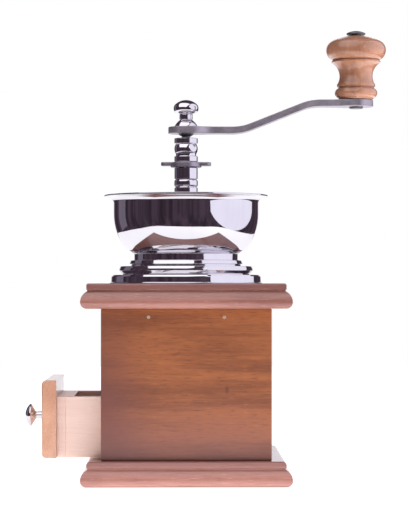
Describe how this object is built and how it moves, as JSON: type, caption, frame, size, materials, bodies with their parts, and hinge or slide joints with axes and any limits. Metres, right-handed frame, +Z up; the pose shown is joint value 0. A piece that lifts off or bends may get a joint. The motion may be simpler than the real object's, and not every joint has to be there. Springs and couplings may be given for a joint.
{
  "type": "manual coffee grinder",
  "caption": "Box coffee mill: stained wood case with stepped boards, plated hopper, bent hand crank with a turned wood knob, and a pull-out drawer for the grounds.",
  "frame": {"origin": "centre of the base board's underside, where the mill stands", "axes": "+Z up along the shaft, +X the way the crank points at rest, -X the way the drawer pulls out"},
  "size_m": [0.2232, 0.125, 0.2765],
  "materials": {
    "board_wood": "stained and lacquered, pinkish brown",
    "stained_wood": "stained and lacquered, glossy red brown",
    "pale_wood": "bare pale wood",
    "face_wood": "stained and lacquered, orange brown",
    "knob_wood": "turned and lacquered, orange brown",
    "plated_steel": "bright plated",
    "bright_steel": "smooth bare steel",
    "dark_steel": "dark turned steel",
    "grey_iron": "cast, dull grey",
    "light_brass": "small bright heads"
  },
  "bodies": {
    "mill_body": {"base_board": "board_wood", "side_panel_near": "stained_wood", "side_panel_far": "stained_wood", "front_panel": "stained_wood", "back_panel": "stained_wood", "top_board": "board_wood", "top_battens": "pale_wood", "brads": "light_brass", "drawer_guides": "pale_wood", "base_screws": "bright_steel", "mill_screws": "bright_steel", "collar": "plated_steel", "hopper_bowl": "plated_steel", "bridge": "bright_steel", "bridge_screws": "bright_steel", "column": "plated_steel", "column_nut": "bright_steel", "spring": "bright_steel", "burr_ring": "grey_iron"},
    "lock_plate": {"lock_plate": "bright_steel"},
    "adjuster": {"adjusting_nut": "plated_steel"},
    "spindle": {"shaft": "bright_steel", "grinding_cone": "grey_iron", "cone_washer": "bright_steel", "cone_nut": "bright_steel", "arm_spacer": "dark_steel", "crank_arm": "bright_steel", "finial": "plated_steel", "knob_bolt": "dark_steel"},
    "crank_knob": {"knob": "knob_wood"},
    "drawer": {"drawer_face": "face_wood", "drawer_front": "pale_wood", "drawer_side_near": "pale_wood", "drawer_side_far": "pale_wood", "drawer_back": "pale_wood", "drawer_floor": "pale_wood", "drawer_pull": "plated_steel", "pull_screw": "bright_steel"}
  },
  "joints": [
    {"name": "crank_spin", "type": "hinge", "parent": "mill_body", "child": "lock_plate", "pos_m": [0, 0, 0.193], "axis": [0, 0, 1], "continuous": true},
    {"name": "grind_adjust", "type": "hinge", "parent": "lock_plate", "child": "adjuster", "pos_m": [0, 0, 0.202], "axis": [0, 0, 1], "range_deg": [-180, 360]},
    {"name": "spindle_lift", "type": "slide", "parent": "lock_plate", "child": "spindle", "axis": [0, 0, 1], "range_m": [-0.001, 0.0005], "deforming": ["spring"]},
    {"name": "knob_spin", "type": "hinge", "parent": "spindle", "child": "crank_knob", "pos_m": [0.1054, 0, 0.254], "axis": [0, 0, 1], "continuous": true},
    {"name": "drawer_slide", "type": "slide", "parent": "mill_body", "child": "drawer", "axis": [-1, 0, 0], "range_m": [-0.0267, 0.045]}
  ],
  "couplings": [
    {"joint": "grind_adjust", "follows": "spindle_lift", "rad_per_m": -6283}
  ]
}
